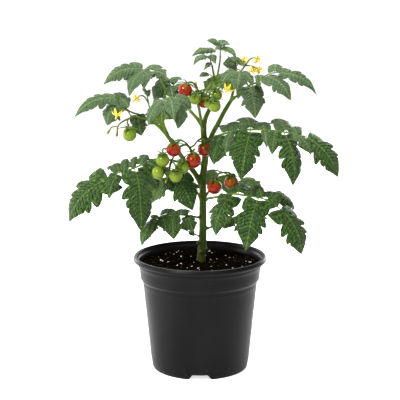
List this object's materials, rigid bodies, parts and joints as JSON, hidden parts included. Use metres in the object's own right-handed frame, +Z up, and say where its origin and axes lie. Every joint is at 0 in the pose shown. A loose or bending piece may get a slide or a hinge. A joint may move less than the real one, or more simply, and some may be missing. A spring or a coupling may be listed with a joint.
{
  "type": "potted cherry tomato plant",
  "caption": "Bushy cherry tomato plant with lobed leaves, ripe and green fruits and yellow flowers, growing in a round tapered nursery pot.",
  "frame": {"origin": "middle of the pot's flat underside, on the surface it stands on", "axes": "+Z up along the pot's axis, -Y towards the front of the plant, +X to its right seen from the front"},
  "size_m": [0.3693, 0.2213, 0.4684],
  "materials": {
    "pot_plastic": "charcoal moulded plastic, faint satin sheen",
    "potting_soil": "dark crumbly potting mix with white perlite",
    "stem": "olive green, finely hairy, matte",
    "leaf": "matte deep green with paler sunken veins",
    "green_stalk": "light green, finely hairy, matte",
    "red_fruit": "smooth glossy red skin",
    "orange_fruit": "smooth glossy orange red skin",
    "green_fruit": "smooth yellow green skin, soft gloss",
    "petal": "soft matte yellow"
  },
  "bodies": {
    "root": {"pot": "pot_plastic", "soil": "potting_soil", "stem": "stem", "leaf_right_middle": "leaf", "leaf_right_low": "leaf", "leaf_right_low_back": "leaf", "leaf_right_back": "leaf", "leaf_left_middle": "leaf", "leaf_centre": "leaf", "leaf_left_low": "leaf", "leaf_left_lowest": "leaf", "leaf_upper_left": "leaf", "leaf_upper_left_rear": "leaf", "leaf_upper_left_front": "leaf", "leaf_far_left": "leaf", "leaf_shoot": "leaf", "leaf_top": "leaf", "leaf_top_left": "leaf", "leaf_young": "leaf", "leaf_top_right": "leaf", "leaf_upper_right": "leaf", "leaf_right_top": "leaf", "leaf_back_left": "leaf", "leaf_back_right": "leaf", "leaf_back_low": "leaf", "leaf_back_top": "leaf", "truss_top": "green_stalk", "fruit_top_1": "red_fruit", "fruit_top_2": "green_fruit", "fruit_top_3": "red_fruit", "fruit_top_4": "green_fruit", "fruit_top_5": "green_fruit", "fruit_top_6": "green_fruit", "truss_middle": "green_stalk", "fruit_middle_1": "red_fruit", "fruit_middle_2": "red_fruit", "fruit_middle_3": "red_fruit", "fruit_middle_4": "green_fruit", "fruit_middle_7": "green_fruit", "fruit_middle_6": "green_fruit", "fruit_middle_5": "green_fruit", "truss_low": "green_stalk", "fruit_low_2": "orange_fruit", "fruit_low_1": "red_fruit", "spray_left": "green_stalk", "fruit_left": "green_fruit", "flower_left": "petal", "spray_shoot": "green_stalk", "flower_shoot": "petal", "spray_right": "green_stalk", "flower_right_2": "petal", "flower_right_1": "petal", "flower_right_4": "petal", "flower_right_3": "petal", "spray_centre": "green_stalk", "flower_centre": "petal"}
  },
  "joints": []
}
